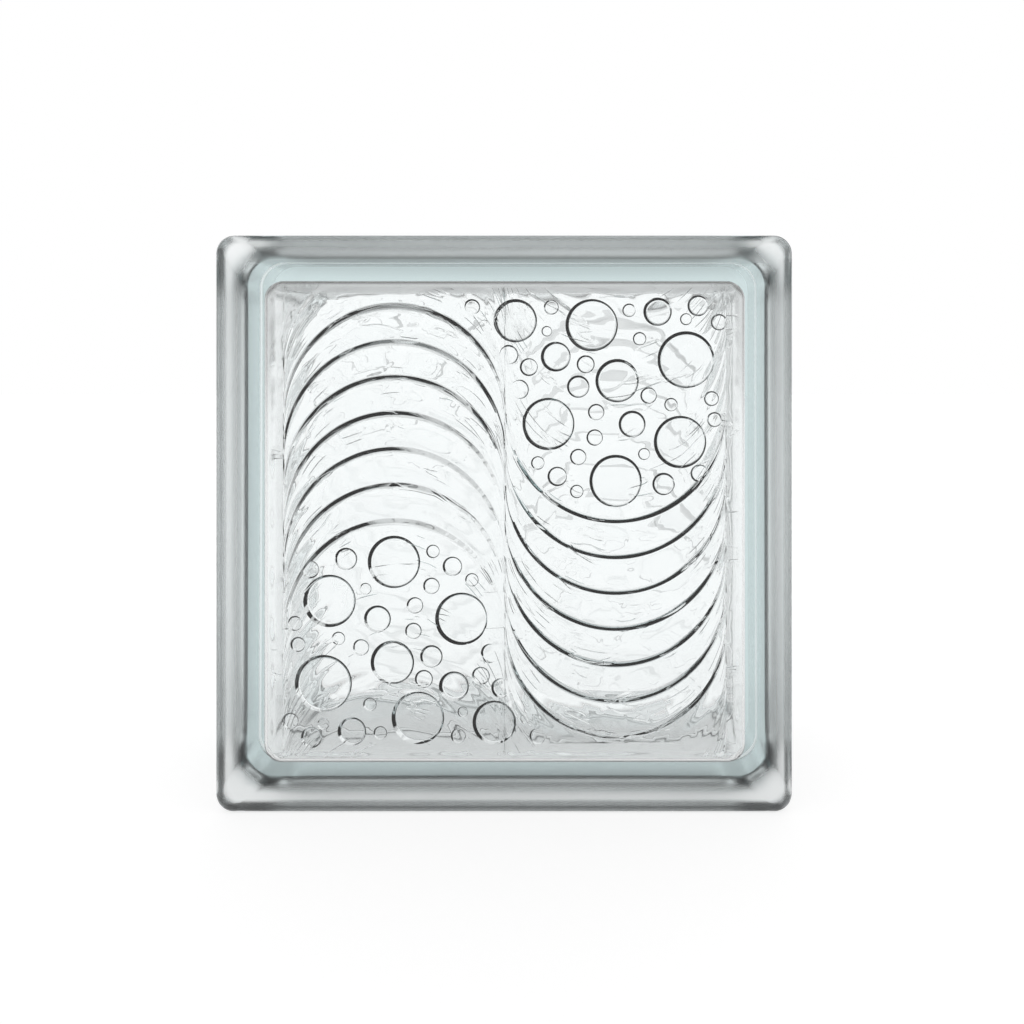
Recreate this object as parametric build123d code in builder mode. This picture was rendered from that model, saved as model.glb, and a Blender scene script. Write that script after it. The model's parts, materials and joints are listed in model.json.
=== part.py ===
from build123d import *

import os

# Hollow pressed-glass block. Two equal halves, each pressed as one open shell with its face,
# rim and walls, are fused round their edges at mid depth and close a sealed cavity.
# Millimetres. X runs to the right, Y from the front face to the back face, Z up.
# The origin lies under the middle of the block, on the bed that its two lower rims stand on.

# Block
face_size = 190
block_depth = 80
half_depth = block_depth / 2
middle_height = face_size / 2

# Rim round the face, and the mortar channel behind it
rim_flat_depth = 10
rim_slope_depth = 5
rim_corner_radius = 6
face_edge_radius = 2.5
channel_depth = 6.5
channel_corner_radius = 9

# Bead of glass that the fusing leaves on the seam, half of it on each half
bead_width = 4
bead_height = 1.2
bead_edge_bevel = 0.8

# Shell
plate_thickness = 8
wall_thickness = 7.3
wall_draft = 1.5
cavity_corner_radius = 7
cavity_root_bevel = 2

# Waves stand on the inner side of the face plate
field_margin = 7.2
relief_sink = 0.5
wave_pitch = 12
wave_height = 1.8
wave_steep_width = 4.5
wave_gentle_width = wave_pitch - wave_steep_width

# Places worked out from the sizes above
channel_size = face_size - 2 * channel_depth
bead_size = channel_size + 2 * bead_height
cavity_mouth_size = channel_size - 2 * wall_thickness
cavity_depth = half_depth - plate_thickness
plate_inner_y = -half_depth + plate_thickness
field_half = cavity_mouth_size / 2 - field_margin
wave_radius = field_half / 2
waves_each_side = int(wave_radius // wave_pitch)

face_plane = Plane(origin=(0, -half_depth, middle_height), x_dir=(1, 0, 0), z_dir=(0, -1, 0))
rim_back_plane = face_plane.offset(-rim_flat_depth)
plate_plane = face_plane.offset(-plate_thickness)
relief_base_plane = plate_plane.offset(relief_sink)
seam_plane = face_plane.offset(-half_depth)


def wave_crest(side, height):
    """Half ring of one wave, arched up on the left (side -1) or hung down on the right (side 1)."""
    centre = Plane(
        origin=(side * wave_radius, plate_inner_y, middle_height + height),
        x_dir=(1, 0, 0),
        z_dir=(0, 0, 1),
    )
    foot = wave_radius - wave_steep_width
    heel = wave_radius + wave_gentle_width
    with BuildPart() as wave:
        with BuildSketch(centre):
            with BuildLine():
                Polyline(
                    (foot, 0), (wave_radius, wave_height), (heel, 0),
                    (heel, -relief_sink), (foot, -relief_sink), close=True,
                )
            make_face()
        revolve(axis=Axis(centre.origin, (0, side, 0)), revolution_arc=180)
    return wave.part


wave_heights = [wave_pitch * step for step in range(-waves_each_side, waves_each_side + 1)]
wave_crests = [wave_crest(side, height) for height in wave_heights for side in (-1, 1)]

with BuildPart() as waves:
    add(wave_crests)
    with BuildSketch(relief_base_plane):
        Rectangle(2 * field_half, 2 * field_half)
    extrude(amount=-relief_sink - wave_height, mode=Mode.INTERSECT)

with BuildPart() as front_half:
    # Rim with the outer side of the face
    with BuildSketch(face_plane):
        RectangleRounded(face_size, face_size, rim_corner_radius)
    extrude(amount=-rim_flat_depth)
    fillet(front_half.edges().group_by(Axis.Y)[0], face_edge_radius)

    # Slope from the back of the rim down to the channel
    with BuildSketch(rim_back_plane):
        RectangleRounded(face_size, face_size, rim_corner_radius)
    with BuildSketch(rim_back_plane.offset(-rim_slope_depth)):
        RectangleRounded(channel_size, channel_size, channel_corner_radius)
    loft(ruled=True)

    # Walls behind the rim, which leave the mortar channel, and the half bead on the seam
    with BuildSketch(seam_plane):
        RectangleRounded(channel_size, channel_size, channel_corner_radius)
    extrude(amount=half_depth - rim_flat_depth)
    with BuildSketch(seam_plane):
        RectangleRounded(bead_size, bead_size, channel_corner_radius + bead_height)
    extrude(amount=bead_width / 2)
    bead_shoulder = front_half.faces(Select.LAST).filter_by(Axis.Y).sort_by(Axis.Y)[0]
    chamfer(bead_shoulder.outer_wire().edges(), bead_edge_bevel)

    # Cavity
    with BuildSketch(seam_plane):
        RectangleRounded(cavity_mouth_size, cavity_mouth_size, cavity_corner_radius)
    extrude(amount=cavity_depth, taper=wall_draft, mode=Mode.SUBTRACT)
    plate_edges = front_half.edges().filter_by_position(Axis.Y, plate_inner_y, plate_inner_y)
    chamfer(plate_edges, cavity_root_bevel)

    # Relief on the inner side of the face plate
    add(waves.part)
front_half.part.label = "front_half"

# The back half comes from the same mould, turned half round about the upright axis
with BuildPart() as back_half:
    add(front_half.part, rotation=(0, 0, 180))
back_half.part.label = "back_half"

os.makedirs("parts", exist_ok=True)
export_step(front_half.part, "parts/front_half.step")
export_step(back_half.part, "parts/back_half.step")
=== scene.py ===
import json
from math import cos, pi, radians, sin

import bmesh
import bpy
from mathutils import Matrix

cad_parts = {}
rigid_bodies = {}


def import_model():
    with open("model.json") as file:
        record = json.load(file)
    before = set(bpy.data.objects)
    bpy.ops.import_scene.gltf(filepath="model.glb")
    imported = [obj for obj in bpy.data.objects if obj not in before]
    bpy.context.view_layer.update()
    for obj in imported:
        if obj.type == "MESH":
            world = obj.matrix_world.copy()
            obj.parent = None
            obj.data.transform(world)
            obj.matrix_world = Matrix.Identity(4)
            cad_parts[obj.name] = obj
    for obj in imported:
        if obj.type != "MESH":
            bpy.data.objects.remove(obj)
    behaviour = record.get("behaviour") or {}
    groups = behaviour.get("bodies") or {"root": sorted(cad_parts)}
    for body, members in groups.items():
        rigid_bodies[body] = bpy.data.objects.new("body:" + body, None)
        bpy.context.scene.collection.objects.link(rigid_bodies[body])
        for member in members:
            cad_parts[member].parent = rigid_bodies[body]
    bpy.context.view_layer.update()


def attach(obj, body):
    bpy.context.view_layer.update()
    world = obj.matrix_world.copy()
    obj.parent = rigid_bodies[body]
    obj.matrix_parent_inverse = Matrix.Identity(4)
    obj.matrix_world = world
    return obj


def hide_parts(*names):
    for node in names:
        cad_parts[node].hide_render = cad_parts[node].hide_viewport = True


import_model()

# Hollow pressed-glass block, seen from its front face. Metres, in the frame of the CAD source:
# X to the right, Y from the front face to the back face, Z up from the floor.

# Block
face_size = 0.190
half_depth = 0.040
middle_height = face_size / 2

# Rim, slope and mortar channel on the outside
rim_flat_depth = 0.010
rim_slope_depth = 0.005
rim_corner_radius = 0.006
rim_back_radius = 0.0025
face_edge_radius = 0.0025
slope_root_radius = 0.006
channel_size = 0.177
channel_corner_radius = 0.009

# Bead of glass that the fusing leaves on the seam
bead_half_width = 0.002
bead_height = 0.0012
bead_edge_radius = 0.0008

# Cavity. Its floor is cut into squares, so that no face there is large and full of holes later.
plate_thickness = 0.008
wall_thickness = 0.0073
plate_inner_y = -half_depth + plate_thickness
cavity_mouth_size = channel_size - 2 * wall_thickness
cavity_corner_radius = 0.007
cavity_floor_size = 0.16072
cavity_floor_corner_radius = 0.0062
cavity_root_radius = 0.002
floor_square = 0.0081
floor_cuts = 9

# Steps in the roundings of the shell
corner_steps = 10
edge_steps = 6
face_edge_steps = 8

# Waves on the inner side of the face plate: half rings, steep towards their axis and gentle
# away from it. They go a small angle past half a turn, and are cut off along the edge of a
# square field.
field_half = 0.074
field_cut_depth = 0.01
waves_each_way = 3
wave_pitch = 0.012
wave_radius = 0.037
wave_height = 0.0018
wave_foot_width = 0.0045
wave_knee_width = 0.0018
wave_gentle_width = 0.0075
wave_foot = wave_radius - wave_foot_width
wave_knee = wave_radius - wave_knee_width
wave_heel = wave_radius + wave_gentle_width
wave_crest_rounding = 0.0004
wave_crest_steps = 3
wave_knee_rounding = 0.0007
wave_knee_steps = 4
wave_steps = 96
wave_overlap = 0.006

# The relief is sunk into the plate. The waves start a hair below its face, so that none of
# their faces lies in the same plane.
relief_sink = 0.0005
wave_base_sink = 0.00002
wave_base_y = plate_inner_y - wave_base_sink

# Bubbles: buttons with steep sides, cut off aslant with the high side to the left. That side's
# direction and its scatter are in degrees.
bubble_high_share = 0.17
bubble_high_limit = 0.0018
bubble_low_share = 0.4
bubble_steepness = 1.35
bubble_spare_height = 1.2
bubble_rounding = 0.5
bubble_rounding_steps = 5
high_side_angle = 160
high_side_scatter = 30

# Bubbles of one cluster in millimetres: how far the middle is left of the field's right edge
# and below its top edge, and the diameter.
large_bubbles = [
    (70.5, 7.0, 14.5), (45.0, 8.5, 17.5), (36.5, 27.0, 14.5), (59.5, 41.5, 17.5),
    (37.0, 60.5, 17.5), (13.5, 20.0, 19.0), (15.5, 47.5, 17.5),
]
medium_bubbles = [
    (57.0, 19.0, 10.0), (31.5, 41.5, 9.0), (23.0, 4.0, 9.5), (73.0, 18.5, 7.0),
    (9.5, 2.0, 7.0), (21.0, 61.5, 7.5), (69.5, 30.0, 7.0), (49.5, 29.0, 7.5),
    (56.5, 59.0, 6.5), (66.0, 22.5, 6.0), (47.0, 21.5, 6.0), (9.0, 58.0, 6.0),
]
small_bubbles = [
    (2.5, 7.5, 5.5), (60.0, 10.5, 3.5), (58.5, 2.5, 5.0), (43.5, 37.5, 5.5),
    (44.0, 46.0, 5.5), (49.5, 52.5, 5.5), (63.0, 54.5, 4.5), (50.0, 64.0, 4.5),
    (27.5, 51.5, 4.0), (32.5, 3.5, 4.5), (29.0, 13.0, 4.5), (26.0, 32.0, 5.5),
    (18.5, 35.0, 4.5), (5.0, 33.0, 5.0), (4.0, 40.0, 5.0), (13.5, 6.5, 4.0),
    (81.0, 8.5, 4.0), (85.0, 2.5, 5.5),
]
mm_in_metre = 1000

# How many sides the bubbles of each size have
bubbles_and_sides = [(large_bubbles, 64), (medium_bubbles, 40), (small_bubbles, 28)]

tiny = 1e-6
weld_distance = 1e-5
sharp_angle = radians(30)
white = (1, 1, 1, 1)


def start_alone():
    """Leaves every object unselected, so that an operator acts on new ones alone."""
    bpy.ops.object.select_all(action="DESELECT")


def select_alone(piece):
    """Selects one object and no other, for the operators that follow."""
    start_alone()
    piece.select_set(True)
    bpy.context.view_layer.objects.active = piece


def settle(piece, name):
    """Puts the piece's origin at the world's origin, and names the piece and its mesh."""
    select_alone(piece)
    bpy.ops.object.transform_apply(location=True, rotation=True, scale=True)
    piece.name = name
    piece.data.name = name
    return piece


def pick(kind, wanted):
    """Selects those vertices, edges or faces of the mesh in edit mode that are wanted."""
    bpy.ops.mesh.select_mode(type={"verts": "VERT", "edges": "EDGE", "faces": "FACE"}[kind])
    bpy.ops.mesh.select_all(action="DESELECT")
    shape = bmesh.from_edit_mesh(bpy.context.edit_object.data)
    for part in getattr(shape, kind):
        if wanted(part):
            part.select_set(True)
    shape.select_flush_mode()
    bmesh.update_edit_mesh(bpy.context.edit_object.data)


def pick_level_faces(depth):
    """Selects the faces of the mesh in edit mode that lie flat at this depth."""
    pick("faces", lambda face: all(abs(corner.co.y - depth) < tiny for corner in face.verts))


def pick_open_edges():
    """Selects the open rims of the mesh in edit mode."""
    bpy.ops.mesh.select_mode(type="EDGE")
    bpy.ops.mesh.select_all(action="DESELECT")
    bpy.ops.mesh.select_non_manifold(
        extend=False, use_wire=True, use_boundary=True,
        use_multi_face=False, use_non_contiguous=False, use_verts=False,
    )


def apply_boolean(piece, tool, operation):
    """Cuts or joins one closed piece with another, and deletes the second."""
    select_alone(piece)
    boolean = piece.modifiers.new(operation.lower(), "BOOLEAN")
    boolean.operation = operation
    boolean.solver = "MANIFOLD"
    boolean.object = tool
    bpy.ops.object.modifier_apply(modifier=boolean.name)
    bpy.data.objects.remove(tool)


def join(pieces, name):
    """Joins pieces that stay apart from each other into one object."""
    select_alone(pieces[0])
    for piece in pieces[1:]:
        piece.select_set(True)
    bpy.ops.object.join()
    return settle(pieces[0], name)


def round_section_edge(depth, radius, steps):
    """Rounds the edge that lies all round the shell at this depth."""
    pick("edges", lambda edge: edge.is_manifold and all(
        abs(corner.co.y - depth) < tiny and not corner.is_boundary for corner in edge.verts
    ))
    bpy.ops.mesh.bevel(offset=radius, segments=steps, profile=0.5)


def model_half_shell():
    """Front half without relief: rounded squares bridged into one closed cup."""
    channel_end = -half_depth + rim_flat_depth + rim_slope_depth
    bead_size = channel_size + 2 * bead_height
    bead_corner_radius = channel_corner_radius + bead_height
    # Size, corner radius, depth, and how far the edge there is rounded
    sections = [
        (cavity_floor_size, cavity_floor_corner_radius, plate_inner_y, cavity_root_radius),
        (cavity_mouth_size, cavity_corner_radius, 0, 0),
        (bead_size, bead_corner_radius, 0, 0),
        (bead_size, bead_corner_radius, -bead_half_width, bead_edge_radius),
        (channel_size, channel_corner_radius, -bead_half_width, 0),
        (channel_size, channel_corner_radius, channel_end, slope_root_radius),
        (face_size, rim_corner_radius, -half_depth + rim_flat_depth, rim_back_radius),
        (face_size, rim_corner_radius, -half_depth, face_edge_radius),
    ]
    for number, (size, corner_radius, depth, _) in enumerate(sections):
        bpy.ops.mesh.primitive_plane_add(
            size=size, location=(0, depth, middle_height), rotation=(pi / 2, 0, 0)
        )
        if number == 0:
            shell = settle(bpy.context.object, "half_shell")
            bpy.ops.object.mode_set(mode="EDIT")
            bpy.ops.mesh.select_mode(type="VERT")
            bpy.ops.mesh.select_all(action="SELECT")
        bpy.ops.mesh.bevel(
            affect="VERTICES", offset=corner_radius, segments=corner_steps, profile=0.5
        )
        if number == 0:
            continue
        bpy.ops.mesh.select_linked()
        bpy.ops.mesh.delete(type="ONLY_FACE")
        pick_open_edges()
        bpy.ops.mesh.bridge_edge_loops()
        _, _, last_depth, last_rounding = sections[number - 1]
        if last_rounding:
            round_section_edge(last_depth, last_rounding, edge_steps)
    pick_open_edges()
    bpy.ops.mesh.edge_face_add()
    round_section_edge(-half_depth, face_edge_radius, face_edge_steps)
    for step in range(-floor_cuts, floor_cuts + 1):
        for across in ((1, 0, 0), (0, 0, 1)):
            pick_level_faces(plate_inner_y)
            bpy.ops.mesh.bisect(
                plane_co=(step * floor_square, 0, middle_height + step * floor_square),
                plane_no=across,
            )
    bpy.ops.mesh.select_all(action="SELECT")
    bpy.ops.mesh.normals_make_consistent(inside=False)
    bpy.ops.object.mode_set(mode="OBJECT")
    return shell


def model_wave(side, height):
    """Half ring of one wave, arched up on the left (side -1) or hung down on the right (side 1)."""
    centre_x = side * wave_radius
    centre_z = middle_height + height
    # A flat profile at the outer end of the half ring, drawn from a plain rectangle
    inner_x = centre_x + wave_foot * side
    outer_x = centre_x + wave_heel * side
    bpy.ops.mesh.primitive_plane_add(
        size=1, location=((inner_x + outer_x) / 2, wave_base_y - relief_sink / 2, centre_z)
    )
    wave = bpy.context.object
    wave.scale = (abs(outer_x - inner_x), relief_sink, 1)
    settle(wave, "wave")
    bpy.ops.object.mode_set(mode="EDIT")
    pick("edges", lambda edge: all(
        corner.co.y > wave_base_y - tiny for corner in edge.verts
    ))
    bpy.ops.mesh.subdivide(number_cuts=2)
    shape = bmesh.from_edit_mesh(wave.data)
    top = sorted(
        (corner for corner in shape.verts if corner.co.y > wave_base_y - tiny),
        key=lambda corner: side * corner.co.x,
    )
    top[1].co.x = centre_x + wave_knee * side
    top[2].co.x = centre_x + wave_radius * side
    top[2].co.y = plate_inner_y + wave_height
    knee, crest = top[1].co.copy(), top[2].co.copy()
    bmesh.update_edit_mesh(wave.data)
    for bend, rounding, steps in (
        (crest, wave_crest_rounding, wave_crest_steps),
        (knee, wave_knee_rounding, wave_knee_steps),
    ):
        pick("verts", lambda corner: (corner.co - bend).length < tiny)
        bpy.ops.mesh.bevel(affect="VERTICES", offset=rounding, segments=steps, profile=0.5)
    bpy.ops.mesh.select_all(action="SELECT")
    bpy.ops.mesh.spin(
        steps=wave_steps, angle=pi + wave_overlap, center=(centre_x, 0, centre_z), axis=(0, -1, 0)
    )
    bpy.ops.mesh.select_all(action="SELECT")
    bpy.ops.mesh.remove_doubles(threshold=tiny)
    bpy.ops.mesh.normals_make_consistent(inside=False)
    bpy.ops.object.mode_set(mode="OBJECT")
    return wave


def model_waves():
    """All waves of the field, joined and cut off along its square edge."""
    heights = [wave_pitch * step for step in range(-waves_each_way, waves_each_way + 1)]
    waves = None
    for side in (-1, 1):
        for height in heights:
            wave = model_wave(side, height)
            if waves is None:
                waves = wave
            else:
                apply_boolean(waves, wave, "UNION")
    bpy.ops.mesh.primitive_cube_add(size=1, location=(0, plate_inner_y, middle_height))
    field = bpy.context.object
    field.scale = (2 * field_half, field_cut_depth, 2 * field_half)
    settle(field, "field")
    apply_boolean(waves, field, "INTERSECT")
    return waves


def model_bubble(left, down, diameter, sides, turn):
    """Bubble on the plate: a cone cut off aslant, with its upper edge rounded."""
    radius = diameter / 2 / mm_in_metre
    high = min(bubble_high_share * diameter / mm_in_metre, bubble_high_limit)
    low = bubble_low_share * high
    uncut_height = bubble_spare_height * high
    place_x = turn * (field_half - left / mm_in_metre)
    place_z = middle_height + turn * (field_half - down / mm_in_metre)
    bpy.ops.mesh.primitive_cone_add(
        vertices=sides,
        radius1=radius + relief_sink / bubble_steepness,
        radius2=radius - uncut_height / bubble_steepness,
        depth=uncut_height + relief_sink,
        location=(place_x, plate_inner_y + (uncut_height - relief_sink) / 2, place_z),
        rotation=(-pi / 2, 0, 0),
    )
    bubble = settle(bpy.context.object, "bubble")
    # The place scatters the direction of the high side, the same in every run
    towards = radians(high_side_angle + high_side_scatter * sin(left + 3 * down))
    tilt = (high - low) / 2 / radius
    bpy.ops.object.mode_set(mode="EDIT")
    bpy.ops.mesh.select_all(action="SELECT")
    bpy.ops.mesh.bisect(
        plane_co=(place_x, plate_inner_y + (high + low) / 2, place_z),
        plane_no=(-tilt * cos(towards), 1, -tilt * sin(towards)),
        use_fill=True,
        clear_outer=True,
    )
    pick("faces", lambda face: len(face.verts) > 4 and face.calc_center_median().y > plate_inner_y)
    bpy.ops.mesh.bevel(
        offset=bubble_rounding * low, segments=bubble_rounding_steps, profile=0.5
    )
    bpy.ops.object.mode_set(mode="OBJECT")
    return bubble


def model_half_block():
    """Front half with its waves, and a cluster of bubbles at the upper right and lower left."""
    half = model_half_shell()
    apply_boolean(half, model_waves(), "UNION")
    for bubbles, sides in bubbles_and_sides:
        buttons = [
            model_bubble(left, down, diameter, sides, turn)
            for turn in (1, -1)
            for left, down, diameter in bubbles
        ]
        apply_boolean(half, join(buttons, "bubbles"), "UNION")
    return half


def fuse_halves(front_block):
    """Opens the seam, turns the same moulding half round for the back, and fuses the two."""
    select_alone(front_block)
    bpy.ops.object.mode_set(mode="EDIT")
    pick_level_faces(0)
    bpy.ops.mesh.delete(type="FACE")
    bpy.ops.object.mode_set(mode="OBJECT")
    bpy.ops.object.duplicate()
    back_block = bpy.context.object
    back_block.rotation_euler.z = pi
    settle(back_block, "back_block")
    block = join([front_block, back_block], "glass_block")
    bpy.ops.object.mode_set(mode="EDIT")
    bpy.ops.mesh.select_all(action="SELECT")
    bpy.ops.mesh.remove_doubles(threshold=weld_distance)
    bpy.ops.object.mode_set(mode="OBJECT")
    bpy.ops.object.shade_smooth_by_angle(angle=sharp_angle)
    weighted = block.modifiers.new("weighted_normals", "WEIGHTED_NORMAL")
    weighted.keep_sharp = True
    bpy.ops.object.modifier_apply(modifier=weighted.name)
    return block


start_alone()
glass_block = fuse_halves(model_half_block())
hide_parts("front_half", "back_half")
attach(glass_block, "root")


def feed(tree, socket, value):
    """Links a socket to another one, or sets it where the value is a number."""
    if isinstance(value, bpy.types.NodeSocket):
        tree.links.new(value, socket)
    else:
        socket.default_value = value


def add_maths(tree, operation, first, second=0.0):
    """Adds one sum, product or the like, of sockets or numbers, and gives its result."""
    maths = tree.nodes.new("ShaderNodeMath")
    maths.operation = operation
    feed(tree, maths.inputs[0], first)
    feed(tree, maths.inputs[1], second)
    return maths.outputs["Value"]


def add_product(tree, first, *others):
    """Multiplies any number of sockets or numbers, one after the other."""
    for other in others:
        first = add_maths(tree, "MULTIPLY", first, other)
    return first


def add_ramp(tree, value, ends, results=(0.0, 1.0)):
    """Turns a value from one range into another, smoothly and without passing its ends."""
    ramp = tree.nodes.new("ShaderNodeMapRange")
    ramp.interpolation_type = "SMOOTHSTEP"
    feed(tree, ramp.inputs["Value"], value)
    ramp.inputs["From Min"].default_value, ramp.inputs["From Max"].default_value = ends
    ramp.inputs["To Min"].default_value, ramp.inputs["To Max"].default_value = results
    return ramp.outputs["Result"]


def add_mix(tree, factor, first, second):
    """Goes from the first value to the second as the factor goes from 0 to 1."""
    mix = tree.nodes.new("ShaderNodeMix")
    mix.data_type = "FLOAT"
    feed(tree, mix.inputs["Factor"], factor)
    feed(tree, mix.inputs["A"], first)
    feed(tree, mix.inputs["B"], second)
    return mix.outputs["Result"]


def add_noise(tree, place, density, detail):
    """Adds soft noise between 0 and 1 that is as dense along X, Y and Z as said."""
    space = tree.nodes.new("ShaderNodeMapping")
    space.inputs["Scale"].default_value = density
    feed(tree, space.inputs["Vector"], place)
    noise = tree.nodes.new("ShaderNodeTexNoise")
    noise.inputs["Scale"].default_value = 1.0
    noise.inputs["Detail"].default_value = detail
    feed(tree, noise.inputs["Vector"], space.outputs["Vector"])
    return noise.outputs["Fac"]


def add_place(tree, kind):
    """Gives the coordinates of a place or direction, whole and as separate X, Y and Z."""
    whole = tree.nodes.new("ShaderNodeTexCoord").outputs[kind]
    parts = tree.nodes.new("ShaderNodeSeparateXYZ")
    feed(tree, parts.inputs["Vector"], whole)
    return whole, parts.outputs


def add_met_glass(tree):
    """Gives 1 where a thing is seen through the glass or mirrored in it, and 0 elsewhere."""
    ray = tree.nodes.new("ShaderNodeLightPath")
    return add_maths(
        tree, "MAXIMUM", ray.outputs["Is Transmission Ray"], ray.outputs["Is Glossy Ray"]
    )


# Glass: how it bends light, and its tint
glass_ior = 1.52
glass_tint = (0.45, 0.62, 0.63, 1)
glass_tint_density = 12.0

# Dull pressed sides. The mortar channel is smoother than the rim, except on the block's top.
rim_roughness = 0.42
channel_roughness = 0.25

# Where each finish begins and where it is whole: outwards from the middle of the face, in depth
# from the seam, or in height
side_outwards = (0.0842, 0.0850)
side_depth = (0.0392, 0.0376)
rim_outwards = (0.0943, 0.0948)
rim_depth = (0.0235, 0.0260)
top_channel_height = (0.1815, 0.1830)
plate_inner_depth = (0.0285, 0.0295)
plate_outer_depth = (0.0330, 0.0325)
plate_outwards = (0.0790, 0.0760)

# Marks of the mould: how dense they lie along X, Y and Z, how fine they get, and their height.
# The wrinkles follow the line where their noise is half way, and show only in patches.
rib_density = (330, 45, 330)
rib_detail = 1.0
rib_height = 0.00015
swell_density = (40, 30, 110)
swell_detail = 1.0
swell_height = 0.0015
wrinkle_density = (45, 30, 200)
wrinkle_detail = 1.5
wrinkle_height = 0.00016
wrinkle_line = 0.5
wrinkle_edge = (0.0, 0.022)
patch_density = (90, 90, 90)
patch_detail = 0.0
patch_edge = (0.52, 0.64)


def add_crest_place(tree, parts, from_middle_x):
    """Gives a place with the waves' half rings bent straight, so that noise runs along them."""
    crest_side = add_maths(tree, "SIGN", add_product(tree, parts["X"], parts["Y"]))
    from_axis = add_maths(tree, "SUBTRACT", from_middle_x, wave_radius)
    from_axis_squared = add_product(tree, from_axis, from_axis)
    rise_squared = add_maths(tree, "SUBTRACT", wave_radius ** 2, from_axis_squared)
    rise = add_maths(tree, "SQRT", add_maths(tree, "MAXIMUM", rise_squared, 0.0))
    straight_z = add_maths(tree, "SUBTRACT", parts["Z"], add_product(tree, rise, crest_side))
    crest_place = tree.nodes.new("ShaderNodeCombineXYZ")
    feed(tree, crest_place.inputs["X"], parts["X"])
    feed(tree, crest_place.inputs["Y"], parts["Y"])
    feed(tree, crest_place.inputs["Z"], straight_z)
    return crest_place.outputs["Vector"]


def make_pressed_glass():
    """Clear glass: polished faces, dull sides with ribs on the rim, swells and wrinkles inside."""
    glass = bpy.data.materials.new("pressed_glass")
    glass.use_nodes = True
    tree = glass.node_tree
    surface = tree.nodes["Principled BSDF"]
    surface.inputs["Base Color"].default_value = white
    surface.inputs["IOR"].default_value = glass_ior
    surface.inputs["Transmission Weight"].default_value = 1.0
    absorption = tree.nodes.new("ShaderNodeVolumeAbsorption")
    absorption.inputs["Color"].default_value = glass_tint
    absorption.inputs["Density"].default_value = glass_tint_density
    feed(tree, tree.nodes["Material Output"].inputs["Volume"], absorption.outputs["Volume"])

    place, parts = add_place(tree, "Object")
    from_middle_x = add_maths(tree, "ABSOLUTE", parts["X"])
    height_from_middle = add_maths(tree, "SUBTRACT", parts["Z"], middle_height)
    from_middle_z = add_maths(tree, "ABSOLUTE", height_from_middle)
    outwards = add_maths(tree, "MAXIMUM", from_middle_x, from_middle_z)
    depth = add_maths(tree, "ABSOLUTE", parts["Y"])

    channel_dullness = add_ramp(
        tree, parts["Z"], top_channel_height, (channel_roughness, rim_roughness)
    )
    beside_channel = add_ramp(tree, depth, rim_depth)
    roughness = add_product(
        tree,
        add_ramp(tree, outwards, side_outwards),
        add_ramp(tree, depth, side_depth),
        add_mix(tree, beside_channel, channel_dullness, rim_roughness),
    )
    feed(tree, surface.inputs["Roughness"], roughness)

    ribs = add_product(
        tree,
        add_noise(tree, place, rib_density, rib_detail),
        add_ramp(tree, outwards, rim_outwards),
        rib_height,
    )

    # The inner sides of the plates swell softly and carry fine broken lines along the crests
    on_plate = add_product(
        tree,
        add_ramp(tree, depth, plate_inner_depth),
        add_ramp(tree, depth, plate_outer_depth),
        add_ramp(tree, outwards, plate_outwards),
    )
    crest_place = add_crest_place(tree, parts, from_middle_x)
    swells = add_noise(tree, crest_place, swell_density, swell_detail)
    swells = add_product(tree, swells, on_plate, swell_height)
    wrinkles = add_noise(tree, crest_place, wrinkle_density, wrinkle_detail)
    off_line = add_maths(tree, "ABSOLUTE", add_maths(tree, "SUBTRACT", wrinkles, wrinkle_line))
    in_patch = add_ramp(tree, add_noise(tree, place, patch_density, patch_detail), patch_edge)
    wrinkles = add_product(
        tree,
        add_ramp(tree, off_line, wrinkle_edge),
        add_product(tree, in_patch, on_plate),
        wrinkle_height,
    )

    relief = tree.nodes.new("ShaderNodeBump")
    relief.inputs["Strength"].default_value = 1.0
    relief.inputs["Distance"].default_value = 1.0
    relief_height = add_maths(tree, "ADD", add_maths(tree, "ADD", swells, wrinkles), ribs)
    feed(tree, relief.inputs["Height"], relief_height)
    feed(tree, surface.inputs["Normal"], relief.outputs["Normal"])
    return glass


glass_block.data.materials.clear()
glass_block.data.materials.append(make_pressed_glass())

# Studio floor: white wherever the shadow doesn't fall. Seen through the glass, its glow is a little
# lower close to the block: painted shade on the floor near the block.
floor_size = 6
floor_grey = (0.25, 0.25, 0.25, 1)
floor_roughness = 0.9
floor_glow = 0.79
# How far from the block the painted shade reaches, and the glow there: dimmed glow as painted shade
painted_shade_reach = (0.03, 0.12)
painted_shade_glow = (0.88, 1.0)


def make_floor_paint():
    """Matt grey that glows, so that it looks white, for the camera and through the glass alone."""
    floor_paint = bpy.data.materials.new("floor_paint")
    floor_paint.use_nodes = True
    tree = floor_paint.node_tree
    paint = tree.nodes["Principled BSDF"]
    paint.inputs["Base Color"].default_value = floor_grey
    paint.inputs["Roughness"].default_value = floor_roughness
    paint.inputs["Emission Color"].default_value = white
    _, parts = add_place(tree, "Object")
    away = add_maths(tree, "ABSOLUTE", parts["Y"])
    # Painted shade: seen through the glass, the floor's glow is dimmed close to the block
    seen_in_glass = add_product(
        tree, add_met_glass(tree), add_ramp(tree, away, painted_shade_reach, painted_shade_glow)
    )
    seen_direct = tree.nodes.new("ShaderNodeLightPath").outputs["Is Camera Ray"]
    seen = add_maths(tree, "MAXIMUM", seen_direct, seen_in_glass)
    feed(tree, paint.inputs["Emission Strength"], add_product(tree, seen, floor_glow))
    return floor_paint


bpy.ops.mesh.primitive_plane_add(size=floor_size, location=(0, 0, 0))
floor = settle(bpy.context.object, "studio_floor")
floor.data.materials.append(make_floor_paint())

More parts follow.
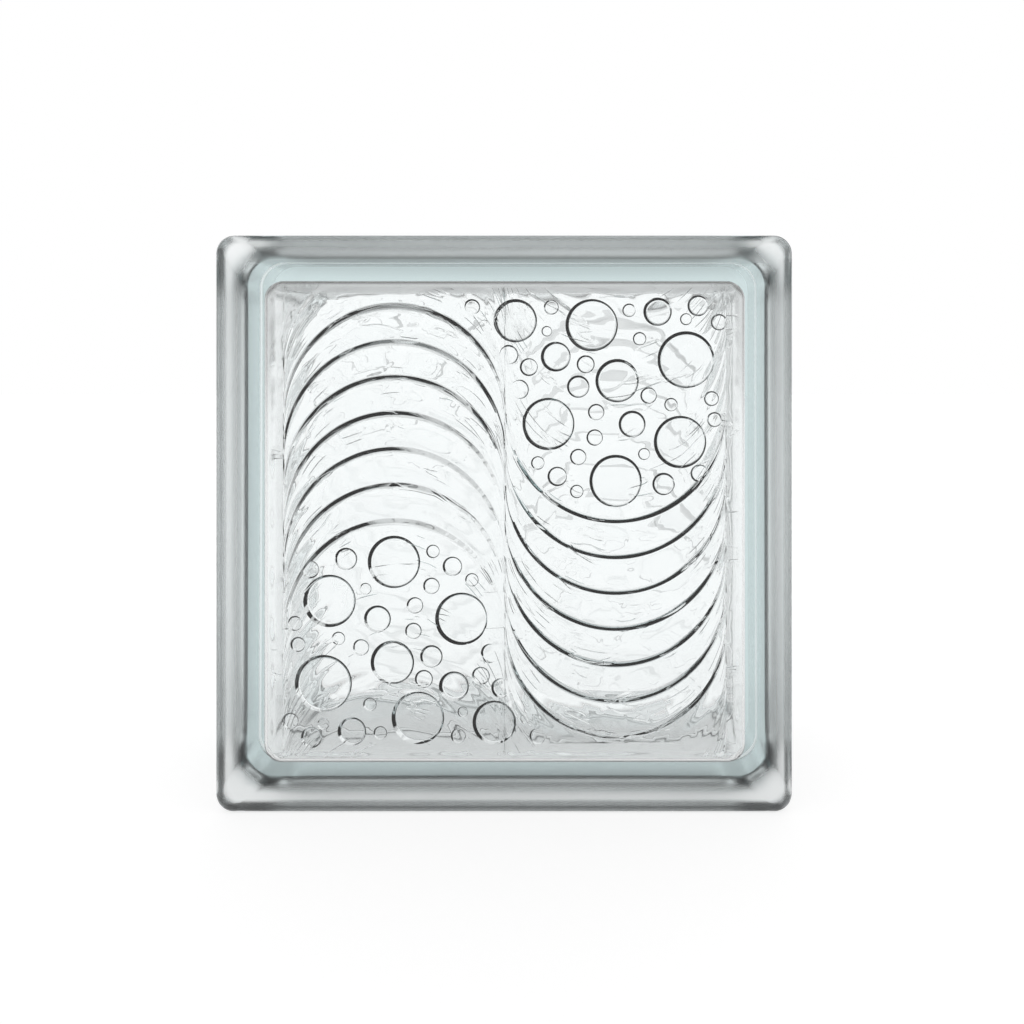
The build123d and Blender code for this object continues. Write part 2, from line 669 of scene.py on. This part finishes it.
# Studio light: even and white, but the glass shows a white backdrop before and behind the
# block, with grey above it and aside. Each pair of ends says how far a direction goes along the
# block's depth, or upwards, from 0 to 1. The light at these two ends follows it.
backdrop_ends = (0.66, 0.90)
backdrop_light = (0.0, 1.08)
backdrop_top_ends = (0.085, 0.110)
backdrop_top_light = (1.0, 0.75)
side_ends = (0.1, 0.66)
side_light = (0.42, 0.72)
upper_ends = (0.1, 0.8)
upper_light = (1.0, 0.45)


def make_studio():
    """Surroundings that light the block evenly, and show the glass the backdrop and the grey."""
    world = bpy.data.worlds.new("studio")
    world.use_nodes = True
    tree = world.node_tree
    _, parts = add_place(tree, "Generated")
    along = add_maths(tree, "ABSOLUTE", parts["Y"])
    backdrop = add_product(
        tree,
        add_ramp(tree, along, backdrop_ends, backdrop_light),
        add_ramp(tree, parts["Z"], backdrop_top_ends, backdrop_top_light),
    )
    sides = add_product(
        tree,
        add_ramp(tree, along, side_ends, side_light),
        add_ramp(tree, parts["Z"], upper_ends, upper_light),
    )
    seen_in_glass = add_maths(tree, "MAXIMUM", backdrop, sides)
    strength = add_mix(tree, add_met_glass(tree), 1.0, seen_in_glass)
    background = tree.nodes["Background"]
    background.inputs["Color"].default_value = white
    feed(tree, background.inputs["Strength"], strength)
    return world


# Camera: level, a little right of the middle and above it, 276 mm in front of the face
camera_place = (0.0181, -0.316, 0.1499)
bpy.ops.object.camera_add(location=camera_place, rotation=(pi / 2, 0, 0))
camera = bpy.context.object
camera.name = "camera"
camera.data.sensor_width = 36
camera.data.lens = 29.61
camera.data.shift_x = -0.0459
camera.data.shift_y = -0.1514
camera.data.clip_start = 0.01

# Few bounces, so that the steep sides of waves and bubbles come out as dark as in the photo
bounces_in_glass = 8
bounces_off_glass = 2
scene = bpy.context.scene
scene.world = make_studio()
scene.camera = camera
scene.view_settings.view_transform = "Standard"
scene.cycles.use_denoising = True
scene.cycles.max_bounces = bounces_in_glass
scene.cycles.transmission_bounces = bounces_in_glass
scene.cycles.glossy_bounces = bounces_off_glass
